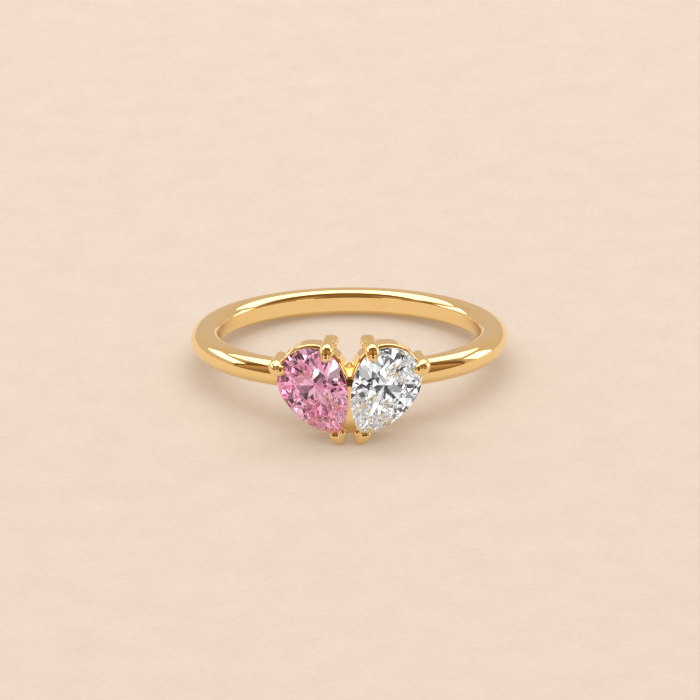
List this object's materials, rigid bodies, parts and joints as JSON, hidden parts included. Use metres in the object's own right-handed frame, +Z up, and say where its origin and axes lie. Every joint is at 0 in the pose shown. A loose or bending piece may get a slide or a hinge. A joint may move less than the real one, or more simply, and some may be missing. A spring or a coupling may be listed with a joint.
{
  "type": "toi et moi ring",
  "caption": "Slim round ring lying on its side, with two pear-cut stones side by side, points down, held in open collars by claws at the heads and V-shaped claws at the points.",
  "frame": {"origin": "middle of the bounding box's footprint, at the height of the table that the ring lies on", "axes": "+X to the right as seen from the stones' side, +Y from the stones to the back of the band, +Z up from the table; the finger's axis leans 6.52 degrees from +Z towards +Y"},
  "size_m": [0.0202, 0.0236, 0.0065],
  "materials": {
    "gold": "polished yellow gold",
    "pink_stone": "cut and polished pink gem",
    "clear_stone": "cut and polished colourless gem"
  },
  "bodies": {
    "root": {"gold_mount": "gold", "pink_stone": "pink_stone", "clear_stone": "clear_stone"}
  },
  "joints": []
}
